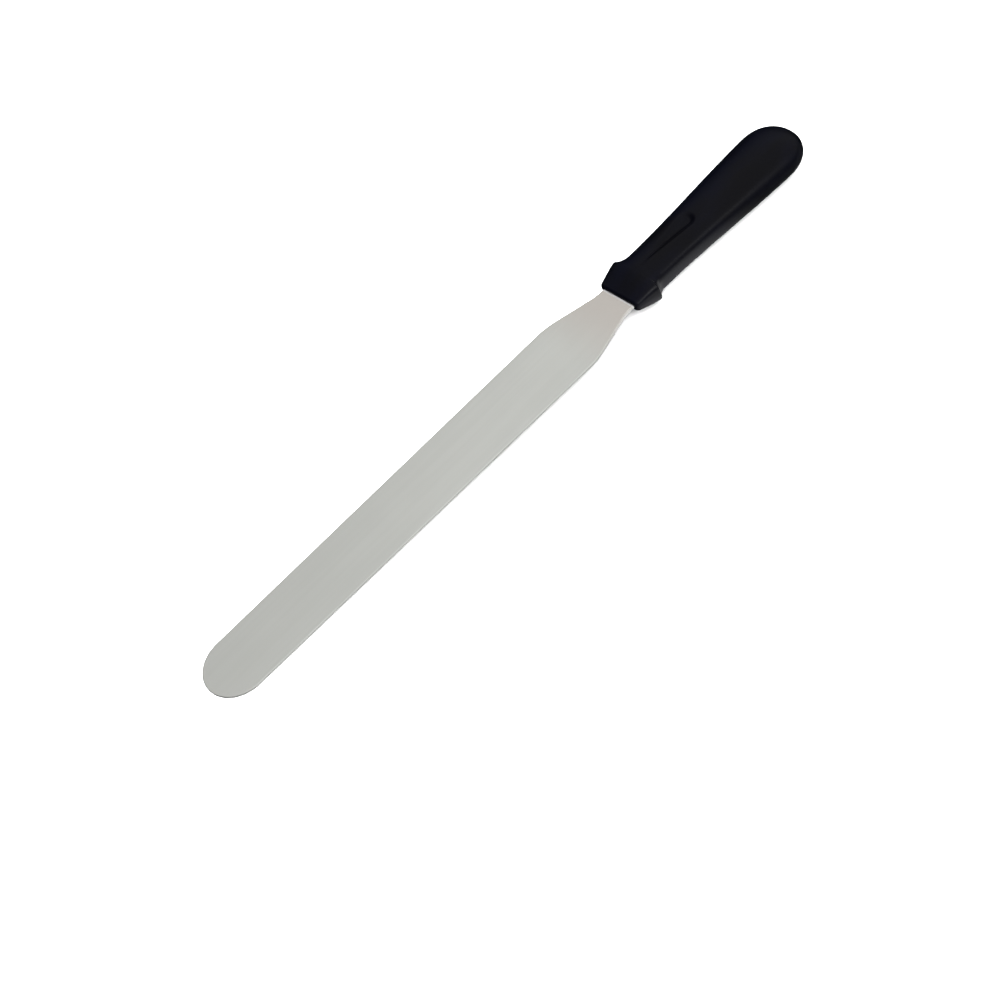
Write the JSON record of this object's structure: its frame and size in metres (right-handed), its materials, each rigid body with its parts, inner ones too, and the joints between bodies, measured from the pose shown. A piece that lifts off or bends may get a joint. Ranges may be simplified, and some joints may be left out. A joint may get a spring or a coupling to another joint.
{
  "type": "icing spatula",
  "caption": "Straight icing spatula: long springy stainless blade with a round tip and tapered shoulders, its tang moulded into a black plastic handle with a flared guard.",
  "frame": {"origin": "middle of the object's box in X and Y, at its lowest level, which is the underside of the thick end of the handle", "axes": "+X along the tool from the round tip towards the butt of the handle, +Y across the blade, +Z normal to the flat of the blade"},
  "size_m": [0.3726, 0.036, 0.0188],
  "materials": {
    "satin_stainless": "satin, finely ground along the blade",
    "black_plastic": "moulded, low sheen"
  },
  "bodies": {
    "root": {"blade": "satin_stainless", "handle": "black_plastic"}
  },
  "joints": []
}
